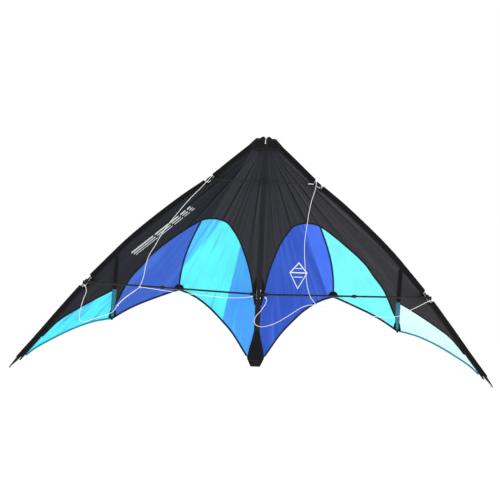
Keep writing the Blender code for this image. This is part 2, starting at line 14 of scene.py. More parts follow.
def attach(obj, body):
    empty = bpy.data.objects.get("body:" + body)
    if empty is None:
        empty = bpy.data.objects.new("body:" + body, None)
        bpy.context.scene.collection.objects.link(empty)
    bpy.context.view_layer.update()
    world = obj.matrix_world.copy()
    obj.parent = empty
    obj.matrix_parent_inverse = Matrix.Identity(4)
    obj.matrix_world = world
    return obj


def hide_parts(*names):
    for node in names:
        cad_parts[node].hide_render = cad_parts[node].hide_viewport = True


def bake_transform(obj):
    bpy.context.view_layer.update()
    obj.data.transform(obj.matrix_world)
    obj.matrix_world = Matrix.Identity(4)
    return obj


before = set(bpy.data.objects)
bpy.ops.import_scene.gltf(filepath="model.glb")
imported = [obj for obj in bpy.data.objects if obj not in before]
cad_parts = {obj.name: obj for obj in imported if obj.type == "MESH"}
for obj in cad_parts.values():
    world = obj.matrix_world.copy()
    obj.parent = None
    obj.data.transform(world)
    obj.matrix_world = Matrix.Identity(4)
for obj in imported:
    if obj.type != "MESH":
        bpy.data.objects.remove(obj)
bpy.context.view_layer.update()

MM = 0.001
SIDES = (("left", -1), ("right", 1))

# The frame's own dimensions, in millimetres
KEEL_X = 10.0
PANEL_TOP = 476.0
SPREADER_Y = -9.0
SPREADER_RISE = math.atan2(15.0, 570.0)
UPPER_SPREADER_Z = 370.0
SLEEVE_WIDTH = 19.5
SLEEVE_DEPTH = 4.5
SLEEVE_WALL = 0.5
PANEL_INSET = 20.3
SPAR_INSET = 8.0
SLEEVES = {"top": (32.0, 187.0), "middle": (221.0, 706.0), "tip": (752.0, 1062.0)}
FADE_OUT = 958.0
SAIL_END = 1041.0
BLEND_FROM = 9.0
LEADING_EDGE = [
    (31, 511), (105, 447), (180, 381), (268, 314), (355, 241), (435, 168),
    (504, 95), (576, 15), (647, -72), (721, -166), (781, -240), (806, -271),
]
ARCH_INNER = [
    (166, 243), (138, 241), (110, 230), (94, 211), (81, 193), (66, 166), (48, 122),
    (36, 88), (25, 46), (18, 8), (12, -25), (KEEL_X, -36),
]
ARCH_OUTER = [
    (199, 235), (256, 198), (295, 168), (332, 138), (362, 109), (388, 76), (420, 38),
    (442, 0), (460, -38), (476, -66),
]
PIPED_SEAM = [(199, 235), (226, 173), (246, 116), (258, 58), (262, 8), (262, -4)]
TE_INNER = [(262, -4), (230, -15), (199, -30), (159, -58), (121, -93), (82, -134), (28, -208)]
TE_MIDDLE = [(262, -4), (295, -16), (330, -30), (393, -57), (436, -80), (479, -108)]
TE_TIP = [(479, -108), (541, -120), (605, -146), (668, -180), (715, -209)]
TIP_BORDER = [(474, -7), (512, -28), (551, -51), (594, -78), (649, -117)]
TAIL_FLARE = [(KEEL_X, -128), (14, -146), (19, -164), (24, -184), (27, -204), (28, -208)]
NOSE_HALF = [(0, 475.5), (43, 475.5), (56, 490), (33, 513.5), (0, 514.5)]
BELLY_DEPTH = 105.0
BELLY = [
    (520, 0.0), (511, 0.02), (243, 0.53), (100, 0.81), (0, 0.985), (-60, 1.0),
    (-130, 0.87), (-208, 0.58), (-300, 0.3),
]

# Cloth
CLOTH_THICKNESS = 0.35
CLOTH_GRID = 6.0
OUTLINE_STEP = 8.0
UNDER_SLEEVE = PANEL_INSET - 2.5
FOLD_GRID = 2.5
NOSE_POINT = Vector((0.0, 500.0))
STITCH_PITCH = 2.6
STITCH_RADIUS = 0.22

# The sail's sharpest creases, as the angle in radians from straight down at the nose, + on +X, and
# the fold's half width in millimetres
RAYS = [
    (-0.84, 4.0), (-0.70, 5.0), (-0.46, 6.0), (-0.32, 3.5), (-0.10, 5.0),
    (0.13, 3.5), (0.36, 4.0), (0.54, 6.0), (0.64, 3.5), (0.73, 5.0), (0.86, 3.5),
]

# Line
CORD_RADIUS = 0.9
CORDS = {"left_bridle_upper_leg": [
    (-171, -9, 388), (-175, -15, 378), (-185, -20, 365), (-206, -26, 340), (-228, -30, 316),
    (-247, -32, 294), (-282, -34, 248), (-315, -34, 202), (-333, -32, 170), (-347, -30, 142),
    (-361, -28, 118), (-369, -25, 96), (-374, -22, 72), (-377, -20, 50), (-382, -18, 28),
    (-389, -18, 10),
], "left_bridle_inhaul": [
    (-20, -15, -6), (-34, -16, -10), (-52, -17, -12.5), (-74, -17.5, -14), (-96, -18, -14.5),
    (-125, -18, -14), (-155, -18, -12.5), (-185, -18, -11), (-215, -18, -9), (-245, -18, -7),
    (-275, -18, -4.5), (-305, -18, -1.5), (-330, -18, 1), (-352, -18, 3.5), (-372, -18, 5.5),
    (-386, -18, 6.5),
], "left_bridle_lower_leg": [
    (-393, -18, 3.5), (-402, -20, -4), (-416, -23, -15), (-430, -26, -26), (-445, -28, -40),
    (-456, -29, -52), (-464, -29, -66), (-474, -28, -78), (-487, -27, -85), (-503, -26, -91),
    (-522, -25, -98), (-541, -24, -106), (-556, -23, -112), (-569, -22, -114), (-578, -21, -107),
    (-580, -20, -94), (-577, -18, -74), (-573, -17, -56), (-569, -16, -39), (-563, -16, -24),
    (-561, -16, -12), (-564, -16.5, -1), (-571, -16.5, 7),
], "right_bridle_upper_leg": [
    (171, -9, 388), (171.5, -15, 377), (169.5, -20, 360), (164, -23, 338), (157, -26, 314),
    (152, -28, 288), (148.5, -29, 262), (146, -30, 237), (143, -30, 211), (141, -30, 186),
    (141, -29, 160), (142.5, -28, 136), (145, -26, 112), (149, -24, 82), (154, -21, 52),
    (160, -18.5, 26), (167, -17.5, 6), (176, -17.5, -9), (187, -18, -21),
], "right_bridle_inhaul": [
    (20, -15, -6), (25, -17, -12), (26, -18, -20), (22, -19, -31), (14, -20, -44),
    (5, -21, -57), (-4, -22, -67), (-10, -22, -77), (-11.5, -22, -89), (-6, -22, -99),
    (5, -22, -104), (20, -22, -104), (38, -22, -99), (58, -21.5, -91), (80, -21, -78),
    (101, -20, -64), (121, -19, -50), (140, -18.5, -37), (158, -18, -29), (172, -18, -26),
    (184.5, -18, -25.5),
], "right_bridle_lower_leg": [
    (571, -16.5, 7), (560, -17, 2), (545, -18, -6), (525, -19, -17), (504, -20, -28),
    (489, -21, -38), (475, -22, -46), (458, -22.5, -51), (436, -23, -54), (410, -23, -55),
    (380, -23, -54), (350, -22.5, -51.5), (318, -22, -48), (286, -21, -43), (256, -20, -38),
    (226, -19, -33), (208, -18.5, -29.5), (192.5, -18, -27.5),
]}


# -------- camera, light and stage

def fill(tree, node, inputs):
    """Sets a node's inputs to numbers, colours or other nodes' outputs."""
    for key, value in inputs.items():
        if isinstance(value, bpy.types.NodeSocket):
            tree.links.new(value, node.inputs[key])
        else:
            node.inputs[key].default_value = value


def add_node(tree, kind, inputs=None, **settings):
    """A new node in a shader's or a world's tree."""
    node = tree.nodes.new("ShaderNode" + kind)
    for key, value in settings.items():
        setattr(node, key, value)
    fill(tree, node, inputs or {})
    return node


def linked(name, data):
    """A new object in the scene."""
    obj = bpy.data.objects.new(name, data)
    bpy.context.scene.collection.objects.link(obj)
    return obj


def aim(obj, spot, at):
    """Stands a camera or a lamp at a spot, looking at a point."""
    obj.location = spot
    obj.rotation_mode = "QUATERNION"
    obj.rotation_quaternion = (Vector(at) - Vector(spot)).to_track_quat("-Z", "Y")


def make_stage():
    """A pale floor well below the kite, a white world and soft lamps in front, above and behind."""
    scene = bpy.context.scene
    scene.view_settings.view_transform = "Standard"
    camera = linked("camera", bpy.data.cameras.new("camera"))
    camera.data.lens = 76.6
    camera.data.sensor_width = 36.0
    azimuth, distance, roll = math.radians(-3.6), 3.5, math.radians(2.8)
    target = Vector((-0.0353, 0.0, 0.1446))
    back = Vector((math.sin(azimuth), -math.cos(azimuth), 0.0))
    aim(camera, target + back * distance, target)
    camera.rotation_quaternion = camera.rotation_quaternion @ Matrix.Rotation(roll, 3, "Z").to_quaternion()
    scene.camera = camera

    scene.world = bpy.data.worlds.new("studio")
    scene.world.use_nodes = True
    tree = scene.world.node_tree
    tree.nodes.clear()
    seen, lit = (
        add_node(tree, "Background", {"Color": (1.0, 1.0, 1.0, 1.0), "Strength": strength}).outputs[0]
        for strength in (1.0, 0.62)
    )
    direct = add_node(tree, "LightPath").outputs["Is Camera Ray"]
    mix = add_node(tree, "MixShader", {0: direct, 1: lit, 2: seen})
    add_node(tree, "OutputWorld", {"Surface": mix.outputs[0]})

    for name, spot, size, power in (
        ("key", (-1.6, -3.0, 2.4), 1.2, 44.0),
        ("fill", (2.2, -2.6, 0.8), 2.0, 20.0),
        ("back", (0.4, 3.0, 1.6), 2.4, 34.0),
    ):
        lamp = bpy.data.lights.new(name, "AREA")
        lamp.size = size
        lamp.energy = power
        aim(linked(name, lamp), spot, (0, 0, 0.1))

    bm = bmesh.new()
    bmesh.ops.create_circle(bm, cap_ends=True, segments=96, radius=9.0)
    bmesh.ops.translate(bm, vec=(0, 0, -0.72), verts=bm.verts)
    floor = linked("floor", bpy.data.meshes.new("floor"))
    bm.to_mesh(floor.data)
    bm.free()
    pale = bpy.data.materials.new("pale_floor")
    pale.use_nodes = True
    fill(pale.node_tree, pale.node_tree.nodes["Principled BSDF"], {
        "Base Color": (0.94, 0.94, 0.94, 1), "Roughness": 0.9,
        "Emission Color": (1, 1, 1, 1), "Emission Strength": 0.45,
    })
    floor.data.materials.append(pale)


# -------- shapes of the sail

def smooth_line(points, step):
    """Points about step apart on one smooth curve through the given points."""
    points = [Vector(p) for p in points]
    last = len(points) - 1
    along = [0.0]
    for a, b in zip(points, points[1:]):
        along.append(along[-1] + (b - a).length)
    ends = [(max(i - 1, 0), min(i + 1, last)) for i in range(last + 1)]
    slopes = [(points[b] - points[a]) / (along[b] - along[a]) for a, b in ends]
    line = []
    for i in range(last):
        span = along[i + 1] - along[i]
        count = max(1, round(span / step))
        for k in range(count):
            t = k / count
            rise = t * t * (3 - 2 * t)
            line.append(
                points[i] * (1 - rise) + points[i + 1] * rise
                + slopes[i] * (span * t * (1 - t) ** 2) - slopes[i + 1] * (span * t * t * (1 - t)))
    line.append(points[last])
    return line


def value_at(pairs, where):
    """The second number at the first one, in a table that runs downwards."""
    for (high, a), (low, b) in zip(pairs, pairs[1:]):
        if where >= low:
            t = min(1.0, max(0.0, (high - where) / (high - low)))
            return a + (b - a) * t
    return pairs[-1][1]


def step_up(low, high, value):
    """0 below low, 1 above high, smooth between."""
    t = min(1.0, max(0.0, (value - low) / (high - low)))
    return t * t * (3 - 2 * t)


EDGE = smooth_line(LEADING_EDGE, 12.0)


def edge_at(distance, inset):
    """The point of the leading edge at a distance from the nose, moved in, and its direction."""
    for a, b in zip(EDGE, EDGE[1:]):
        span = (b - a).length
        if distance <= span or b == EDGE[-1]:
            direction = (b - a) / span
            inward = Vector((direction.y, -direction.x))
            return a + direction * distance + inward * inset, direction
        distance -= span


def edge_run(start, end, inset, step):
    """Points along the leading edge between two distances."""
    count = max(2, math.ceil((end - start) / step))
    return [edge_at(start + (end - start) * k / count, inset)[0] for k in range(count + 1)]


INNER_EDGE = [(p.y, p.x) for p in edge_run(0.0, SLEEVES["tip"][1], PANEL_INSET, 20.0)]
BELLY_LINE = [(p.x, p.y) for p in smooth_line(BELLY, 20.0)]


def across_at(x, z):
    """0 at the keel and 1 at the leading edge's sleeve."""
    wide = max(value_at(INNER_EDGE, z) - KEEL_X, 1.0)
    return min(1.0, max(0.0, (abs(x) - KEEL_X) / wide))


def depth(x, z):
    """How far the taut sail lies behind the flat of the frame."""
    return BELLY_DEPTH * value_at(BELLY_LINE, z) * math.sin(math.pi * across_at(x, z) ** 0.88) ** 1.25


def ridge(value):
    """A wave with sharp crests and long troughs, from -1 to 1."""
    return 1.0 - 2.0 * abs(math.sin(value)) ** 0.7


def creases(x, z):
    """The sail's folds in millimetres: rays from the nose, pulls towards the standoff and soft
    ripples, none of them at the keel or the leading edge."""
    free = math.sin(math.pi * across_at(x, z)) ** 0.6 if 0 < across_at(x, z) < 1 else 0.0
    phase = 0.0 if x > 0 else 2.1
    away = Vector((abs(x), z)) - NOSE_POINT
    far, turn = away.length, math.atan2(abs(x), NOSE_POINT.y - z)
    slow = noise.noise(Vector((x * 0.006, z * 0.006, 3.0)))
    rays = (
        ridge(turn * 13.0 + phase + 1.2 * slow)
        + 0.6 * ridge(turn * 23.0 + 1.7 * phase + 0.8 * slow)
        + 0.3 * math.sin(turn * 47.0 + phase)
    )
    rays *= step_up(35.0, 130.0, far) * (1.0 - 0.75 * step_up(230.0, 400.0, far))
    sharp = 0.0
    for angle, half in RAYS:
        if angle * x > 0:
            sharp += math.exp(-(((turn - abs(angle)) * far / (1.5 * half)) ** 2))
    sharp *= step_up(25.0, 90.0, far) * (1.0 - step_up(260.0, 420.0, far))
    pull = Vector((abs(x) - 262.0, z + 4.0))
    spokes = math.sin(math.atan2(pull.y, pull.x) * 9.0 + phase) * math.exp(-pull.length / 70.0)
    spokes *= step_up(4.0, 30.0, pull.length)
    ripple = noise.noise(Vector((x * 0.018, z * 0.011, 7.0 + phase)))
    return free * (1.2 * rays + 2.6 * sharp + 1.9 * spokes + 1.3 * ripple)


def window_fold(x, z):
    """The long soft pleat beside the piped seam of the window on +X."""
    off = x - (160.0 + (200.0 - z) * 0.42)
    return 2.4 * math.exp(-((off / 7.0) ** 2)) * step_up(-20.0, 40.0, z) * (1.0 - step_up(170.0, 225.0, z))


def surface(x, z):
    """The sail's middle surface, in millimetres behind the flat of the frame."""
    return depth(x, z) + creases(x, z) + (window_fold(x, z) if x > 0 else 0.0)


# -------- making pieces

def new_object(name, data, look):
    """A piece with its material."""
    material, slot = LOOKS[look]
    data.materials.append(material)
    obj = linked(name, data)
    return obj


def smooth(mesh, sharp=50.0):
    """A mesh shaded smooth, but for its sharp edges."""
    mesh.shade_smooth()
    mesh.set_sharp_from_angle(angle=math.radians(sharp))
    return mesh


def mesh_from(bm, name, sharp=50.0):
    """A smooth mesh in metres from a bmesh in millimetres."""
    bmesh.ops.recalc_face_normals(bm, faces=bm.faces)
    bmesh.ops.scale(bm, vec=(MM, MM, MM), verts=bm.verts)
    mesh = bpy.data.meshes.new(name)
    bm.to_mesh(mesh)
    bm.free()
    return smooth(mesh, sharp)


def solidify(obj, thickness, offset):
    """Gives an open mesh its thickness, inwards at offset -1 and to both sides at 0."""
    shell = obj.modifiers.new("thickness", "SOLIDIFY")
    shell.thickness = thickness * MM
    shell.offset = offset
    bpy.context.view_layer.update()
    solid = bpy.data.meshes.new_from_object(obj.evaluated_get(bpy.context.evaluated_depsgraph_get()))
    obj.modifiers.clear()
    obj.data = smooth(solid)
    return obj


def ride(obj, body):
    """Rides a piece on a body, and returns the piece."""
    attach(obj, body)
    return obj


def place(obj, side, crosses_keel=False):
    """Rides a piece on its wing, or, for a piece that crosses the keel, bakes its place into its mesh and
    leaves it on no body.
    """
    if not crosses_keel:
        return ride(obj, f"{side}_wing")
    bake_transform(obj)
    return obj


def both(points, sign):
    """An outline of the wing on +X, on either wing."""
    return [Vector((sign * p[0], p[1])) for p in points]


def flat_grid(outline, grid, fold=False):
    """A flat bmesh of an outline, cut by a square grid, with finer cuts where it folds at the keel."""
    bm = bmesh.new()
    ring = [p for i, p in enumerate(outline) if (p - outline[i - 1]).length > 0.4]
    bm.faces.new([bm.verts.new((p.x, 0.0, p.y)) for p in ring])
    for axis, values in ((0, [p.x for p in ring]), (2, [p.y for p in ring])):
        normal = Vector((0.0, 0.0, 0.0))
        normal[axis] = 1.0
        low, high = min(values), max(values)
        cuts = [k * grid for k in range(math.ceil(low / grid), math.floor(high / grid) + 1)]
        if fold and axis == 0:
            sign = 1.0 if high > -low else -1.0
            cuts += [sign * (BLEND_FROM + k * FOLD_GRID) for k in range(1, 7)]
        for cut in cuts:
            bmesh.ops.bisect_plane(
                bm, geom=bm.verts[:] + bm.edges[:] + bm.faces[:], plane_co=normal * cut, plane_no=normal
            )
    return bm


def cut_thin_faces(bm):
    """Splits the faces that have more than four corners."""
    bmesh.ops.triangulate(bm, faces=[f for f in bm.faces if len(f.verts) > 4])


def cloth(name, outline, look, stand=0.0, grid=CLOTH_GRID, thickness=CLOTH_THICKNESS, fold=False):
    """A panel of cloth laid on the sail's surface, stand behind it, as a thin closed shell."""
    bm = flat_grid(outline, grid, fold)
    for v in bm.verts:
        v.co.y = surface(v.co.x, v.co.z) + stand
    cut_thin_faces(bm)
    return solidify(new_object(name, mesh_from(bm, name), look), thickness, 0.0)


def flat_size(outline):
    """(length, width, area) of the cut that an outline needs, in metres."""
    area = abs(sum(a.x * b.y - b.x * a.y for a, b in zip(outline, outline[1:] + outline[:1]))) / 2
    boxes = []
    for k in range(90):
        turn = math.radians(k)
        along = [p.x * math.cos(turn) + p.y * math.sin(turn) for p in outline]
        over = [p.y * math.cos(turn) - p.x * math.sin(turn) for p in outline]
        boxes.append((max(along) - min(along), max(over) - min(over)))
    best = min(boxes, key=lambda box: box[0] * box[1])
    return max(best) * MM, min(best) * MM, area * MM * MM


def swept(name, rings, look, closed_ends=True):
    """A skin over rings of points, one ring after another, with flat ends."""
    bm = bmesh.new()
    made = [[bm.verts.new(p) for p in ring] for ring in rings]
    sides = len(rings[0])
    for a, b in zip(made, made[1:]):
        for k in range(sides):
            m = (k + 1) % sides
            bm.faces.new((a[k], a[m], b[m], b[k]))
    if closed_ends:
        bm.faces.new(made[0])
        bm.faces.new(made[-1][::-1])
    return new_object(name, mesh_from(bm, name), look)


def tube(name, places, radius, look, sides=8):
    """A round tube along points, with flat ends."""
    rings = []
    last = len(places) - 1
    over = (places[1] - places[0]).normalized().orthogonal().normalized()
    for i, here in enumerate(places):
        run = (places[min(i + 1, last)] - places[max(i - 1, 0)]).normalized()
        over = (over - run * over.dot(run)).normalized()
        other = run.cross(over)
        turns = [math.tau * k / sides for k in range(sides)]
        rings.append([
            here + over * (radius * math.cos(turn)) + other * (radius * math.sin(turn)) for turn in turns
        ])
    return swept(name, rings, look)


def beside(line, i, by, sign, front):
    """A point off to one side of point i of a line on the sail, in front of the sail's surface."""
    last = len(line) - 1
    run = (line[min(i + 1, last)] - line[max(i - 1, 0)]).normalized()
    spot = line[i] + Vector((-run.y, run.x)) * by
    x = sign * spot.x
    return Vector((x, surface(x, spot.y) - front, spot.y))


def strip(name, points, step, sign, half_width, profile, look):
    """A band that follows a line on the sail. profile is a loop of (across from -1 to 1, millimetres
    in front of the sail's surface)."""
    line = smooth_line(points, step)
    rings = [
        [beside(line, i, across * half_width, sign, front) for across, front in profile]
        for i in range(len(line))
    ]
    return swept(name, rings, look)


def tape(name, points, sign, half_width, look, proud):
    """A tape, hem or piping on the sail, a flat oval in section."""
    loop = []
    for face in (1, -1):
        for k in range(5):
            across = face * (k / 2 - 1)
            loop.append((across, face * proud * (1 - 0.75 * abs(across) ** 4)))
    return strip(name, points, 6.0, sign, half_width, loop, look)


def zigzag(name, points, sign, half_width, front, shift=0.0):
    """A row of zigzag stitches standing a little proud of a tape."""
    line = smooth_line(points, STITCH_PITCH)
    places = [
        beside(line, i, shift + (half_width if i % 2 else -half_width), sign, front)
        for i in range(len(line))
    ]
    return tube(name, places, STITCH_RADIUS, "thread", 4)


# -------- materials

class Shading:
    """A new material, with short ways to add nodes to its tree."""

    def __init__(self, name):
        self.material = bpy.data.materials.new(name)
        self.material.use_nodes = True
        self.shader = self.material.node_tree.nodes["Principled BSDF"]
        self.place = self.add("TexCoord").outputs["Object"]
        self.x, self.y, self.z = self.add("SeparateXYZ", {0: self.place}).outputs

    def add(self, kind, inputs=None, **settings):
        """A new node."""
        return add_node(self.material.node_tree, kind, inputs, **settings)

    def fill(self, inputs):
        """Sets the Principled shader's inputs."""
        fill(self.material.node_tree, self.shader, inputs)

    def math(self, operation, *values, clamp=False):
        """A Math node over outputs or numbers."""
        return self.add("Math", dict(enumerate(values)), operation=operation, use_clamp=clamp).outputs[0]

    def ramp(self, value, gain, start):
        """value * gain + start, kept between 0 and 1."""
        return self.math("MULTIPLY_ADD", value, gain, start, clamp=True)

    def times(self, a, b):
        """The product of two values."""
        return self.math("MULTIPLY", a, b)

    def mix(self, share, a, b):
        """A colour between two, each an output or three numbers."""
        a, b = (colour if isinstance(colour, bpy.types.NodeSocket) else (*colour, 1.0) for colour in (a, b))
        return self.add("Mix", {0: share, 6: a, 7: b}, data_type="RGBA").outputs[2]

    def noise(self, vector, scale, detail, roughness=0.5):
        """The value of a noise texture."""
        inputs = {"Vector": vector, "Scale": scale, "Detail": detail, "Roughness": roughness}
        return self.add("TexNoise", inputs).outputs["Fac"]

    def threads(self, other, per_metre):
        """Two sets of threads, slanted between x and another coordinate, from -1 to 1."""
        waves = [
            self.math("SINE", self.times(self.math(step, self.x, other), per_metre))
            for step in ("ADD", "SUBTRACT")
        ]
        return self.times(*waves)

    def bump(self, height, strength, distance):
        """The normal of a surface raised by height."""
        return self.add("Bump", {"Height": height, "Strength": strength, "Distance": distance}).outputs[0]

    def creases(self, turn, drop, shift):
        """1 on the sharp creases that run from the nose, fading to 0 beside them and far from it."""
        total = 0.0
        for angle, half in RAYS:
            off = self.math("ABSOLUTE", self.math("SUBTRACT", turn, angle + shift * half / 300.0))
            total = self.math("MAXIMUM", total, self.ramp(off, -260.0 / half, 1.0))
        return self.times(total, self.ramp(drop, -5.0, 1.8))


def ripstop(name, colour, light, second=None, line=None, through=0.32, streak=0.5, crease_shading=0.0,
            streak_from=0.46, wedge=None):
    """Thin ripstop nylon: a fine weave with a raised grid every 5 mm, painted light and shade in soft streaks
    along the rays from the nose and on its sharp creases, light coming through it, and a second tone past a
    straight line or two, which is painted shade."""
    s = Shading(name)
    drop = s.math("SUBTRACT", NOSE_POINT.y * MM, s.z)
    turn = s.math("ARCTAN2", s.x, drop)
    far = s.math("SQRT", s.math("ADD", s.times(s.x, s.x), s.times(drop, drop)))
    along_rays = s.add("CombineXYZ", {0: s.times(turn, 26.0), 1: s.times(far, 2.2)}).outputs[0]
    rays = s.noise(along_rays, 1.0, 4.0, 0.62)
    cloud = s.noise(s.place, 11.0, 2.0)
    size = s.math("ABSOLUTE", s.x)
    tone = colour
    # Painted shade: the second tone on the keel's side of a straight line along a crease, standing for the
    # shaded side of that fold. The cloth's own colour stays on the lit side.
    if second:
        start, slope, sharpness = line
        edge = s.math("MULTIPLY_ADD", s.z, slope, start)
        tone = s.mix(s.ramp(s.math("SUBTRACT", size, edge), sharpness, 0.5), second, tone)
    # Painted light and shade: soft streaks along the rays from the nose, drawn towards the light tone.
    gain = 3.4 * streak
    tone = s.mix(s.ramp(rays, gain, -gain * streak_from), tone, light)
    # Painted shade: streaks of the second tone along the rays, past another straight line.
    if wedge:
        start, slope = wedge
        past = s.ramp(s.math("MULTIPLY_ADD", s.z, slope, size), 90.0, -90.0 * start)
        tone = s.mix(s.times(past, s.ramp(rays, 3.0, -0.96)), tone, second)
    tone = s.mix(s.ramp(cloud, -0.9, 0.558), tone, [c * 0.72 for c in colour])
    gloss = 0.22
    # Painted light and shade on the sharp creases: a painted highlight beside each crease, and painted dark
    # shade on it.
    if crease_shading:
        tone = s.mix(s.times(s.creases(turn, drop, 1.7), 0.55 * crease_shading), tone, light)
        crease_shade = s.times(s.creases(turn, drop, 0.0), crease_shading)
        gloss = s.ramp(crease_shade, -0.2, gloss)
        tone = s.mix(crease_shade, tone, [c * 0.15 for c in colour])
    grids = [s.math("LESS_THAN", s.math("FRACT", s.times(value, 200.0)), 0.1) for value in (s.x, s.z)]
    rip = s.math("MAXIMUM", *grids)
    tone = s.mix(s.times(rip, 0.1), tone, light)
    weave = s.noise(s.place, 1500.0, 2.0)
    height = s.math("MULTIPLY_ADD", weave, 0.03, s.math("MULTIPLY_ADD", rip, 0.05, rays))
    normal = s.bump(height, 0.55, 0.006)
    s.fill({
        "Base Color": tone, "Roughness": s.ramp(cloud, 0.2, 0.45), "Specular IOR Level": gloss,
        "Sheen Weight": 0.02, "Sheen Roughness": 0.45, "Normal": normal,
    })
    glow = s.add("BsdfTranslucent", {"Color": tone, "Normal": normal})
    mixed = s.add("MixShader", {0: through, 1: s.shader.outputs[0], 2: glow.outputs[0]})
    tree = s.material.node_tree
    fill(tree, tree.nodes["Material Output"], {"Surface": mixed.outputs[0]})
    return s.material


def woven(name, colour, light, per_metre, height=0.0006):
    """A dense woven tape: two sets of threads at right angles, lighter on the high threads."""
    s = Shading(name)
    thread = s.threads(s.z, per_metre)
    cloud = s.noise(s.place, 38.0, 4.0)
    s.fill({
        "Base Color": s.mix(s.ramp(thread, 0.12, s.times(cloud, 0.25)), colour, light),
        "Roughness": s.ramp(cloud, 0.25, 0.63), "Sheen Weight": 0.015, "Specular IOR Level": 0.14,
        "Normal": s.bump(s.math("ADD", thread, cloud), 0.6, height),
    })
    return s.material


def moulded(name, colour, light, roughness, grain, metallic=0.0, coat=0.0, stretch=(1, 1, 1)):
    """A hard surface: fine grain or drawn streaks, with dust and scuffs in the roughness."""
    s = Shading(name)
    mapping = s.add("Mapping", {"Vector": s.place, "Scale": stretch})
    fine = s.noise(mapping.outputs[0], grain, 4.0, 0.6)
    cloud = s.noise(s.place, 60.0, 3.0)
    s.fill({
        "Base Color": s.mix(s.ramp(s.times(fine, cloud), 2.4, -0.48), colour, light),
        "Roughness": s.ramp(cloud, 0.3, roughness - 0.15), "Metallic": metallic,
        "Specular IOR Level": 0.5 if metallic else 0.22, "Coat Weight": coat,
        "Normal": s.bump(fine, 0.35, 0.00015),
    })
    return s.material


def braided(name, colour, light):
    """Braided line: slanted strands, darker between them."""
    s = Shading(name)
    strands = s.threads(s.math("ADD", s.y, s.z), 1400.0)
    s.fill({
        "Base Color": s.mix(s.ramp(strands, 0.25, 0.4), colour, light), "Roughness": 0.7,
        "Normal": s.bump(strands, 0.5, 0.0002),
    })
    return s.material


ROD = ((0.006, 0.006, 0.007), (0.035, 0.035, 0.038), 0.34, 900.0)

# Each look as (kind, record's slot, colour, light and other values, options). A look that only the
# CAD's own nodes wear needs no slot.
LOOKS = {
    # Painted light: the right wing's copies of a cloth (black_right, royal_right, cyan_outer, aqua_tip) are
    # lighter than the left wing's (black_left, royal_left, cyan_window, cyan_tip), for the brighter light on
    # the right wing. A ripstop's second tone is painted shade, and its light tone also paints the light and
    # shade of its streaks and creases.
    "black_centre": (ripstop, "black_ripstop", ((0.018, 0.02, 0.026), (0.06, 0.062, 0.075)),
                     {"through": 0.06, "crease_shading": 0.85}),
    "black_left": (ripstop, "black_ripstop", ((0.006, 0.008, 0.013), (0.03, 0.035, 0.048)),
                   {"through": 0.04, "streak": 0.4, "crease_shading": 0.8}),
    "black_right": (ripstop, "black_ripstop", ((0.026, 0.024, 0.029), (0.085, 0.077, 0.09)),
                    {"through": 0.07, "streak": 0.45, "crease_shading": 0.8}),
    "cyan_window": (ripstop, "cyan_ripstop", ((0.17, 0.98, 1.0), (0.11, 0.72, 1.0)),
                    {"second": (0.1, 0.47, 1.0), "line": (0.095, -0.19, 450.0), "streak": 2.0,
                     "streak_from": 0.54, "through": 0.38, "wedge": (0.304, 0.76)}),
    "cyan_outer": (ripstop, "cyan_ripstop", ((0.27, 1.0, 1.0), (0.5, 1.0, 1.0)),
                   {"streak": 0.35, "through": 0.38}),
    "cyan_tip": (ripstop, "cyan_ripstop", ((0.13, 0.94, 1.0), (0.1, 0.5, 1.0)),
                 {"streak": 2.4, "streak_from": 0.5, "through": 0.36}),
    "aqua_tip": (ripstop, "pale_aqua_ripstop", ((0.8, 1.0, 1.0), (0.97, 1.0, 1.0)),
                 {"streak": 0.4, "through": 0.45}),
    "royal_left": (ripstop, "royal_blue_ripstop", ((0.058, 0.165, 0.68), (0.15, 0.33, 0.98)), {}),
    "royal_right": (ripstop, "royal_blue_ripstop", ((0.085, 0.23, 0.95), (0.12, 0.32, 1.0)),
                    {"second": (0.036, 0.11, 0.62), "line": (0.244, -0.42, 400.0)}),
    "dacron": (woven, "black_dacron", ((0.003, 0.003, 0.0035), (0.018, 0.018, 0.021), 5200.0), {}),
    "spine_cloth": (woven, "black_ripstop", ((0.012, 0.012, 0.016), (0.05, 0.05, 0.06), 4200.0), {}),
    "webbing": (woven, "black_dacron", ((0.004, 0.004, 0.005), (0.028, 0.028, 0.032), 2400.0, 0.001), {}),
    "navy_tape": (woven, "black_dacron", ((0.006, 0.014, 0.055), (0.03, 0.06, 0.17), 5200.0), {}),
    "teal_tape": (woven, "cyan_ripstop", ((0.03, 0.3, 0.42), (0.1, 0.55, 0.68), 5200.0), {}),
    "pocket_teal": (woven, "cyan_ripstop", ((0.035, 0.2, 0.27), (0.1, 0.38, 0.46), 3600.0), {}),
    "thread": (braided, "black_dacron", ((0.02, 0.02, 0.025), (0.09, 0.09, 0.1)), {}),
    "ink": (woven, "white_line", ((0.55, 0.56, 0.57), (0.82, 0.83, 0.84), 3000.0, 0.0002), {}),
    "ink_white": (woven, "white_line", ((0.82, 0.85, 0.9), (0.97, 0.98, 1.0), 3000.0, 0.0002), {}),
    "line": (braided, "white_line", ((0.78, 0.78, 0.76), (0.97, 0.97, 0.96)), {}),
    "rod": (moulded, None, ROD, {"coat": 0.1, "stretch": (0.05, 1, 1)}),
    "rod_up": (moulded, None, ROD, {"coat": 0.1, "stretch": (1, 1, 0.05)}),
    "rubber": (moulded, "black_rubber", ((0.006, 0.006, 0.007), (0.03, 0.03, 0.03), 0.55, 1400.0), {}),
    "plastic": (moulded, None, (*ROD[:2], 0.42, 1100.0), {}),
    "ferrule": (moulded, None, ((0.62, 0.62, 0.64), (0.8, 0.8, 0.82), 0.35, 700.0),
                {"metallic": 1.0, "stretch": (0.1, 1, 1)}),
}
LOOKS = {
    name: (kind(name, *values, **options), slot) for name, (kind, slot, values, options) in LOOKS.items()
}


# -------- the sail

def nearest(line, point):
    """The number of the point of a line that is nearest to a point."""
    return min(range(len(line)), key=lambda i: (line[i] - Vector(point)).length)


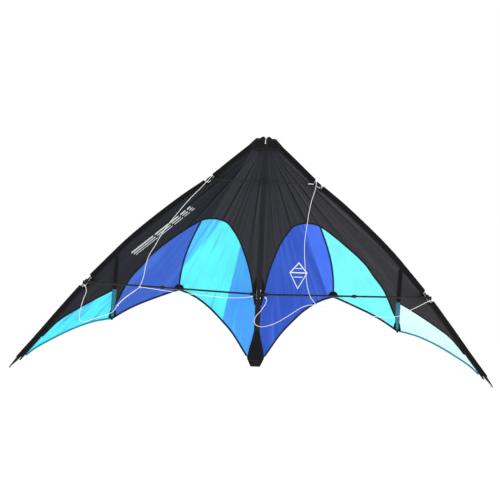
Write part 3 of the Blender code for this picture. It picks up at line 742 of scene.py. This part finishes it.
def sail(side, sign):
    """The five panels of one wing's sail, each with its flat size and its area."""
    inner_edge = edge_run(SLEEVES["top"][0], FADE_OUT, UNDER_SLEEVE, 10.0)
    tip_edge = edge_run(FADE_OUT, SAIL_END, UNDER_SLEEVE, 10.0)
    arch = smooth_line(ARCH_INNER[::-1] + ARCH_OUTER, OUTLINE_STEP)
    crown = nearest(arch, ARCH_INNER[0])
    arch_inner, arch_outer = arch[crown::-1], arch[crown:]
    seam_at = nearest(arch_outer, PIPED_SEAM[0])
    seam, te_inner, te_middle, te_tip, border, flare = (smooth_line(points, OUTLINE_STEP) for points in (
        PIPED_SEAM, TE_INNER, TE_MIDDLE, TE_TIP + [tuple(tip_edge[-1])],
        TIP_BORDER + [tuple(inner_edge[-1])], TAIL_FLARE))
    arch_end = Vector(ARCH_OUTER[-1])
    black, inner_look, outer_look, tip_look = {
        "left": ("black_left", "cyan_window", "royal_left", "cyan_tip"),
        "right": ("black_right", "royal_right", "cyan_outer", "aqua_tip"),
    }[side]
    under_keel = [Vector((8.0 if p.x < 10.5 else p.x, p.y)) for p in flare[-2::-1] + arch_inner[-1:0:-1]]
    panels = {
        "centre_panel": (
            [Vector((KEEL_X - 2.0, PANEL_TOP)), inner_edge[0], Vector(ARCH_INNER[0])] + arch_inner[1:-1]
            + [Vector((KEEL_X - 2.0, -36))], "black_centre"),
        "leading_panel": (inner_edge + border[-2::-1] + [arch_end] + arch_outer[-2::-1], black),
        "inner_window": (arch_outer[:seam_at + 1] + seam[1:] + te_inner[1:] + under_keel, inner_look),
        "outer_window": (
            arch_outer[seam_at:-1] + [arch_end] + te_middle[::-1] + seam[-2:0:-1], outer_look),
        "tip_panel": (border + tip_edge[1:] + te_tip[-2::-1], tip_look),
    }
    made = {}
    for name, (outline, look) in panels.items():
        folds = name in ("centre_panel", "inner_window")
        ring = both(outline, sign)
        piece = cloth(f"{side}_{name}_cloth", ring, look, fold=folds)
        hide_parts(f"{side}_{name}")
        place(piece, side, folds)
        length, width, area = flat_size(ring)
        made[name] = (piece, (length, width), area)
    return made


def moved(points, by):
    """A trailing edge's points, moved onto its hem."""
    return [(x + by, z + 3.2) for x, z in points]


def sail_tapes(side, sign, sewn):
    """Hems, piping, borders and their stitches, added to the panel that they are sewn to."""
    tip_end, fade_end = (edge_at(at, PANEL_INSET)[0] for at in (SAIL_END, FADE_OUT))
    for panel, name, points, half_width, look, proud, rows in (
        ("inner_window", "te_hem_inner", [(258, -1)] + moved(TE_INNER[1:-1], -2) + [(29.5, -204)],
         3.2, "navy_tape", 0.75, 2),
        ("outer_window", "te_hem_middle", [(266, -1)] + moved(TE_MIDDLE[1:-1], 1) + [(478, -103)],
         3.2, "navy_tape", 0.75, 2),
        ("tip_panel", "te_hem_tip",
         [(480, -103)] + moved(TE_TIP[1:], 1) + [(tip_end.x - 2, tip_end.y + 1)], 2.8, "teal_tape", 0.75, 2),
        ("inner_window", "piped_seam", PIPED_SEAM, 2.8, "navy_tape", 1.3, 1),
        ("centre_panel", "arch_border", ARCH_INNER[::-1] + ARCH_OUTER, 2.4, "dacron", 0.95, 1),
        ("tip_panel", "tip_border", TIP_BORDER + [tuple(fade_end)], 2.2, "dacron", 0.9, 1),
    ):
        pieces = [tape(f"{side}_{name}", points, sign, half_width, look, proud)]
        for row in range(rows):
            shift = 0.0 if rows == 1 else half_width * (row - 0.5)
            pieces.append(zigzag(f"{side}_{name}_stitch_{row + 1}", points, sign, 0.8, proud + 0.12, shift))
        for piece in pieces:
            sewn[panel].append(place(piece, side, name == "arch_border"))


def cutout_edge(start, end, clamp_start, clamp_end):
    """A strip of the sail beside a connector's cut-out, with a step in it for the connector."""
    run = [(start, 11.6), (clamp_start, 11.6), (clamp_start, 15.4), (clamp_end, 15.4), (clamp_end, 11.6),
           (end, 11.6), (end, 21.0), (start, 21.0)]
    return [edge_at(at, inset)[0] for at, inset in run]


def patches(side, sign, sewn):
    """Reinforcement patches at the sail's apexes, the T, the tail and the connectors' cut-outs."""
    hub = [(7.2, -15), (7.2, 15), (9, 18), (9, 58), (14, 46), (19, 26), (17, 8), (13, -13), (11, -25),
           (9, -27)]
    foot = [(479, -106), (466, -98), (468, -80), (477, -70), (486, -80), (491, -103)]
    tail_end = [(28.5, -208), (27, -214), (15.5, -238), (0, -238)]
    for panel, name, outline, look, stand, thickness, grid in (
        ("inner_window", "standoff_patch",
         [(262, -3), (243, 2), (250, 14), (262, 19), (273, 14), (281, 1)], "dacron", -1.0, 0.5, 4.0),
        ("outer_window", "batten_patch", foot, "dacron", -1.0, 0.5, 4.0),
        ("centre_panel", "hub_patch", hub, "dacron", -0.9, 0.5, 3.0),
        ("inner_window", "tail_patch_cloth", [(0, -122), (9.5, -124)] + TAIL_FLARE[1:-1] + tail_end,
         "webbing", -2.6, 0.9, 3.0),
        ("leading_panel", "cutout_binding_1", cutout_edge(184.0, 224.0, 193.5, 214.5),
         "dacron", -0.5, 0.6, 4.0),
        ("leading_panel", "cutout_binding_2", cutout_edge(703.0, 755.0, 720.5, 743.5),
         "dacron", -0.5, 0.6, 4.0),
    ):
        folds = name in ("hub_patch", "tail_patch_cloth")
        piece = cloth(f"{side}_{name}", both(outline, sign), look, stand, grid, thickness, folds)
        sewn[panel].append(place(piece, side, folds))


def printed_mark(name, ring, look, side, grid):
    """A mark printed on the front of the sail."""
    place(cloth(name, ring, look, stand=-0.42, thickness=0.12, grid=grid), side)


def printed_marks():
    """Plain marks in place of the maker's: broken stripes on the left wing, a diamond on the right."""
    start, end = Vector((-419, 110)), Vector((-222, 282))
    run = (end - start).normalized()
    over = Vector((-run.y, run.x))
    for row, (gap, width) in enumerate(((7.0, 4.2), (0.0, 3.0), (-6.2, 2.0))):
        at = 4.0 * row
        for dash, length in enumerate((88.0, 54.0, 34.0, 20.0, 12.0)):
            a = start + run * at + over * gap
            b = a + run * length
            half = over * (width / 2)
            ring = [a - half, b - half + run * 2, b + half + run * 4, a + half + run * 2]
            printed_mark(f"left_stripe_{row + 1}_{dash + 1}", ring, "ink", "left", 6.0)
            at += length + 9.0
    corners = [Vector((0, 46)), Vector((32, 10)), Vector((0, -46)), Vector((-32, 10))]
    bars = [[a, b, b * 0.88, a * 0.88] for a, b in zip(corners, corners[1:] + corners[:1])]
    for low, high, half in ((8.2, 11.8, 26.0), (-6.0, -3.4, 16.0), (23.0, 25.6, 12.0)):
        bars.append([Vector(p) for p in ((-half, low), (half, low), (half, high), (-half, high))])
    for k, bar in enumerate(bars):
        ring = [Vector((136, 66)) + p for p in bar]
        printed_mark(f"right_diamond_{k + 1}", ring, "ink_white", "right", 4.0)


# -------- sleeves and webbing

def sleeve_point(at, t, sign, face, proud=0.0):
    """A point of a leading edge's sleeve, t of the way across it from its fold, on its front (face -1)
    or its back (face 1). The sleeve is full at the rod, thin at its sewn edge, and a little puckered."""
    spot = edge_at(at, SLEEVE_WIDTH * t)[0]
    pucker = (1.0 + 0.05 * noise.noise(Vector((at * 0.05, sign * 5.0, 0.0)))
              + 0.035 * noise.noise(Vector((at * 0.16, sign * 9.0, 4.0))))
    full = SLEEVE_DEPTH * abs(math.sin(math.pi * t**0.85)) ** 0.7 * pucker + 0.25
    return Vector((sign * spot.x, face * (full + proud), spot.y))


def edge_sleeves(side, sign):
    """The three lengths of a leading edge's sleeve, with a stitched inner edge."""
    loop = [(k / 12, -1) for k in range(13)] + [(k / 12, 1) for k in range(11, 0, -1)]
    for name, (start, end) in SLEEVES.items():
        start -= 3.0 if name == "top" else 0.0
        count = round((end - start) / 7.0)
        rings = []
        for k in range(count + 1):
            at = start + (end - start) * k / count
            rings.append([sleeve_point(at, t, sign, face) for t, face in loop])
        stitches = [
            sleeve_point(start + 2.0 + 1.7 * k, 0.93 if k % 2 else 0.85, sign, -1, 0.12)
            for k in range(round((end - start - 4.0) / 1.7))
        ]
        piece = swept(f"{side}_le_sleeve_{name}_cloth", rings, "dacron", closed_ends=False)
        solidify(piece, SLEEVE_WALL, -1.0)
        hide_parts(f"{side}_le_sleeve_{name}")
        place(piece, side)
        thread = place(tube(f"{side}_le_sleeve_{name}_stitch", stitches, STITCH_RADIUS, "thread", 4), side)


def spine_sleeves():
    """The spine's sleeve above and below the sail's opening."""
    for name, low, high in (("upper", 14.9, PANEL_TOP), ("lower", -212.0, -14.9)):
        count = round((high - low) / 8.0)
        rings = []
        for k in range(count + 1):
            z = low + (high - low) * k / count
            fat = 1.0 + 0.05 * noise.noise(Vector((z * 0.06, 2.0, 0.0)))
            ring = []
            for m in range(20):
                over, rise = math.cos(math.tau * m / 20), math.sin(math.tau * m / 20)
                y = 0.35 + 9.4 * fat * rise**0.9 if rise > 0 else -0.45 - 0.9 * fat * abs(rise) ** 0.6
                ring.append(Vector((9.3 * math.copysign(abs(over) ** 0.8, over), y, z)))
            rings.append(ring)
        piece = swept(f"{name}_spine_sleeve_cloth", rings, "spine_cloth", closed_ends=False)
        solidify(piece, SLEEVE_WALL, -1.0)
        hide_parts(f"{name}_spine_sleeve")
        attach(piece, "keel")
        for side, sign in SIDES:
            places = [
                Vector((sign * (6.6 + (0.7 if k % 2 else -0.7)), -1.35, low + 1.3 + STITCH_PITCH * k))
                for k in range(round((high - low) / STITCH_PITCH))
            ]
            thread = tube(f"{name}_spine_stitch_{side}", places, STITCH_RADIUS, "thread", 4)
            ride(thread, "keel")


def edge_distance(point, ring):
    """How far a point is from the nearest side of an outline."""
    best = 1e9
    for a, b in zip(ring, ring[1:] + ring[:1]):
        side = b - a
        t = min(1.0, max(0.0, (point - a).dot(side) / side.length_squared))
        best = min(best, (point - a - side * t).length)
    return best


def padded_plate(name, ring, front, back, round_by, grid=2.5, half_only=False):
    """A closed folded-webbing form between a front and a back, rounded over round_by at its edge.
    half_only leaves it full at x = 0, where its other half meets it."""
    bm = flat_grid(ring, grid, half_only)
    cut_thin_faces(bm)
    shape = ring
    if half_only:
        beyond = -40.0 if ring[1].x > 0 else 40.0
        shape = [Vector((p.x + beyond, p.y)) if abs(p.x) < 0.1 else p for p in ring]
    middle, half = (front + back) / 2, (back - front) / 2
    swell = {}
    for v in bm.verts:
        near = min(1.0, edge_distance(Vector((v.co.x, v.co.z)), shape) / round_by)
        uneven = 1.0 + 0.04 * noise.noise(Vector((v.co.x * 0.12, v.co.z * 0.12, 1.0)))
        swell[(round(v.co.x, 4), round(v.co.z, 4))] = (
            (0.35 + 0.65 * math.sqrt(1.0 - (1.0 - near) ** 2)) * half * uneven)
    raised = bmesh.ops.extrude_face_region(bm, geom=bm.faces[:])
    far = {v for v in raised["geom"] if isinstance(v, bmesh.types.BMVert)}
    for v in bm.verts:
        by = swell[(round(v.co.x, 4), round(v.co.z, 4))]
        v.co.y = middle + by if v in far else middle - by
    return new_object(name, mesh_from(bm, name, 60.0), "webbing")


def nose(side, sign):
    """One half of the nose piece: webbing folded over the spine's and the spar's top ends."""
    piece = padded_plate(f"{side}_nose_webbing", both(NOSE_HALF, sign), -5.3, 10.9, 7.0, half_only=True)
    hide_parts(f"{side}_nose_flap", *(["nose_cap"] if side == "right" else []))
    place(piece, side, True)
    rows = [Vector(p) for p in ((3, 479), (38, 479), (48, 490), (31, 508), (3, 508.5))]
    places = []
    for a, b in zip(rows, rows[1:] + rows[:1]):
        count = max(2, round((b - a).length / STITCH_PITCH))
        for k in range(count):
            spot = a.lerp(b, k / count)
            places.append(Vector((sign * spot.x, -5.25 + (0.1 if k % 2 else 0.0), spot.y)))
    place(tube(f"{side}_nose_stitch", places, 0.3, "thread", 5), side, True)
    lip = [(3.5, 510), (3.5, 517), (6.5, 519.8), (12, 520), (16.5, 516.5), (20, 514), (20, 510)]
    ride(padded_plate(f"{side}_nose_fold", both(lip, sign), -3.2, 8.8, 3.0, grid=2.0), "keel")


def nose_loop():
    """The cord that ties the nose between its two folds, over the top of the spine."""
    places = [Vector(p) for p in (
        (-2.2, -5.9, 499), (-1.6, -6.2, 507), (-0.8, -4.6, 514.2), (-0.2, 0.0, 516.6), (0.4, 5.0, 516.8),
        (1.0, 10.0, 514.4), (1.8, 11.8, 507), (2.2, 11.6, 499),
    )]
    ride(tube("nose_tie_cord", smooth_line(places, 2.0), 1.1, "line"), "keel")
    for name, end, y in (("front", places[0], -6.4), ("back", places[-1], 12.2)):
        ride(knot(f"nose_tie_knot_{name}", (end.x, y, end.z - 1.5), 1.7, (0, 0, 1)), "keel")


def tail():
    """The tail strap: webbing that goes round the spine's foot, with its sewn cross-stitch."""
    ring = [Vector(p) for p in ((-14.2, -237.2), (14.2, -237.2), (14.2, -212.6), (-14.2, -212.6))]
    piece = padded_plate("tail_strap_webbing", ring, -1.7, 12.0, 3.0)
    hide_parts("tail_strap")
    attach(piece, "keel")
    corners = ((-10, -234), (10, -234), (-10, -217), (10, -217), (-10, -234))
    corners = [Vector((x, -3.3, z)) for x, z in corners]
    places = [a.lerp(b, k / 8) for a, b in zip(corners, corners[1:]) for k in range(8)]
    ride(tube("tail_strap_stitch", places, 0.3, "thread", 5), "keel")


# -------- battens, line and fittings

def pockets(side, sign, sewn):
    """The batten's pocket, flush behind and with a round ridge over the rod in front: black over the
    black sail, teal where the bright tip panel starts."""
    profile = [(k / 4 - 1, 0.5 + 5.6 * math.exp(-(((k / 4 - 1) / 0.42) ** 2))) for k in range(9)]
    profile += [(1.0, 0.25), (0.0, 0.25), (-1.0, 0.25)]
    for name, points, look in (
        ("upper", [(468, 104), (470, 62), (473, 12), (474, -6)], "dacron"),
        ("lower", [(474, -7), (476, -50), (478.5, -98)], "pocket_teal"),
    ):
        whole = f"{side}_batten_pocket_{name}"
        pieces = [strip(whole, points, 5.0, sign, 7.0, profile, look)]
        for edge, shift in (("in", -5.8), ("out", 5.8)):
            pieces.append(zigzag(f"{whole}_stitch_{edge}", points, sign, 0.6, 0.75, shift))
        sewn["leading_panel"] += [place(piece, side) for piece in pieces]


def knot(name, centre, size, along):
    """A small overhand knot: three lobes of line round the line's own direction."""
    turn = Vector(along).normalized().to_track_quat("Z", "Y")
    places = []
    for k in range(37):
        t = math.tau * k / 36 * 0.985
        spot = Vector((
            math.sin(t) + 1.6 * math.sin(2 * t), math.cos(t) - 1.6 * math.cos(2 * t), -1.3 * math.sin(3 * t)
        ))
        places.append(Vector(centre) + turn @ (spot * size / 2.6))
    return tube(name, places, CORD_RADIUS * 0.85, "line", 6)


def bridle():
    """Each bridle leg at its real length, with a knot at each end, and a tow knot where three meet."""
    for name, route in CORDS.items():
        side = name.split("_")[0]
        line = smooth_line(route, 6.0)
        curve = bpy.data.curves.new(name + "_line", "CURVE")
        curve.dimensions = "3D"
        curve.bevel_depth = CORD_RADIUS * MM
        curve.bevel_resolution = 3
        curve.use_fill_caps = True
        spline = curve.splines.new("POLY")
        spline.points.add(len(line) - 1)
        for point, p in zip(spline.points, line):
            point.co = (*(p * MM), 1.0)
        obj = new_object(name + "_line", curve, "line")
        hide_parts(name)
        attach(obj, f"{side}_wing")
        starts_on_frame = abs(route[0][0]) > 560 or route[0][2] > 300 or abs(route[0][0]) < 30
        exit_end, inner = (line[0], line[1]) if starts_on_frame else (line[-1], line[-2])
        along = inner - exit_end
        extra = [knot(name + "_knot", exit_end + along.normalized() * 4, 2.6, along)]
        if name == "left_bridle_lower_leg":
            doubled = [p + Vector((1.3, -0.7, 1.3)) for p in line[2:16]]
            extra.append(tube("left_tow_pigtail", doubled, 1.35, "line"))
            extra.append(knot("left_tow_pigtail_knot", doubled[-1], 2.6, doubled[-1] - doubled[-2]))
        for piece in extra:
            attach(piece, f"{side}_wing")
    for side, centre in (("left", (-389.5, -18, 6.5)), ("right", (188.5, -18, -24.5))):
        place(knot(f"{side}_tow_knot", centre, 4.2, (0.4, 0.2, 1.0)), side)


def lashings(side, sign):
    """Turns of white cord round the spar beside each connector, and the tension cord over the nock."""
    for name, at in (("upper_in", 189.5), ("upper_out", 218.0), ("lower_in", 709.5), ("lower_out", 748.5)):
        here, direction = edge_at(at, SPAR_INSET)
        along = Vector((sign * direction.x, 0.0, direction.y))
        over = Vector((sign * direction.y, 0.0, -direction.x))
        places = []
        for k in range(40):
            turn = math.tau * 1.6 * k / 39
            round_spar = over * (3.95 * math.cos(turn)) + Vector((0, 3.95 * math.sin(turn), 0))
            places.append(Vector((sign * here.x, 0, here.y)) + along * ((k / 39 - 0.5) * 2.6) + round_spar)
        place(tube(f"{side}_{name}_lashing", places, 0.6, "line", 6), side)
    cord = []
    for at, off, y in (
        (1052, 5.5, -4.9), (1066, 5.6, -5.2), (1082, 3.4, -5.0), (1096, 1.2, -4.2), (1104.5, 0.0, -2.0),
        (1105.5, -0.4, 1.0), (1098, -1.2, 4.4), (1080, -3.6, 5.2), (1062, -5.4, 4.9),
    ):
        spot = edge_at(at, SPAR_INSET + off)[0]
        cord.append(Vector((sign * spot.x, y, spot.y)))
    place(tube(f"{side}_tip_tension_cord", smooth_line(cord, 2.5), 0.8, "line"), side)


def on_spreader(sign, distance):
    """A point on a lower spreader's axis."""
    return Vector((sign * distance * math.cos(SPREADER_RISE), SPREADER_Y, distance * math.sin(SPREADER_RISE)))


def collar(name, centre, along, radius, half):
    """A moulded rib round a fitting: a turned ring with rounded shoulders."""
    along = Vector(along).normalized()
    over = along.orthogonal().normalized()
    other = along.cross(over)
    section = []
    for k in range(9):
        t = math.pi * k / 8
        section.append((-half * math.cos(t), radius + 0.7 * math.sin(t) ** 0.6))
    section += [(half, radius - 0.35), (-half, radius - 0.35)]
    bm = bmesh.new()
    loops = []
    for m in range(28):
        turn = math.tau * m / 28
        out = over * math.cos(turn) + other * math.sin(turn)
        loops.append([bm.verts.new(centre + along * s + out * r) for s, r in section])
    for a, b in zip(loops, loops[1:] + loops[:1]):
        for k in range(len(section)):
            n = (k + 1) % len(section)
            bm.faces.new((a[k], a[n], b[n], b[k]))
    return new_object(name, mesh_from(bm, name, 40.0), "rubber")


def fittings(side, sign):
    """Moulded ribs on the T's arms, the connectors' arms and the upper spreader's sockets."""
    axis = on_spreader(sign, 1) - on_spreader(sign, 0)
    for part, spots, half in (("t_arm", (11.0, 17.5, 25.5), 1.3), ("connector", (532.5, 541.0, 549.5), 1.4)):
        for k, at in enumerate(spots):
            place(collar(f"{side}_{part}_rib_{k + 1}", on_spreader(sign, at), axis, 5.0, half), side)
    if side == "right":
        places = []
        for k in range(40):
            z = UPPER_SPREADER_Z + 0.5 + 0.8 * math.sin(math.pi * k / 39)
            places.append(Vector((144.0 + 18.0 * k / 39, SPREADER_Y - 5.6, z)))
        ride(tube("upper_spreader_whipping", places, 1.2, "line"), "upper_spreader")
    for k, at in enumerate((143.0, 150.0)):
        spot = Vector((sign * at, SPREADER_Y, UPPER_SPREADER_Z))
        ride(collar(f"upper_spreader_{side}_rib_{k + 1}", spot, (1, 0, 0), 4.5, 1.2), "upper_spreader")


def finish_cad_nodes():
    """Better materials on the CAD nodes that stay in view."""
    for name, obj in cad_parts.items():
        if obj.hide_render:
            continue
        if name.endswith("ferrule"):
            chosen = "ferrule"
        elif "spine_rod" in name or "batten" in name and "cap" not in name:
            chosen = "rod_up"
        elif "spreader" in name and "socket" not in name or "spar" in name or "standoff_rod" in name:
            chosen = "rod"
        elif any(word in name for word in ("nock", "clip", "batten_cap")):
            chosen = "plastic"
        else:
            chosen = "rubber"
        obj.data.materials.clear()
        obj.data.materials.append(LOOKS[chosen][0])
        smooth(obj.data, 35.0)


make_stage()
bridle()
for wing_side, wing_sign in SIDES:
    panels_made = sail(wing_side, wing_sign)
    sewn_on = {panel_name: [] for panel_name in panels_made}
    sail_tapes(wing_side, wing_sign, sewn_on)
    patches(wing_side, wing_sign, sewn_on)
    pockets(wing_side, wing_sign, sewn_on)
    edge_sleeves(wing_side, wing_sign)
    nose(wing_side, wing_sign)
    lashings(wing_side, wing_sign)
    fittings(wing_side, wing_sign)
spine_sleeves()
nose_loop()
tail()
printed_marks()
for patch in ("left_tail_patch_cloth", "right_tail_patch_cloth"):
    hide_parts("tail_patch")
finish_cad_nodes()
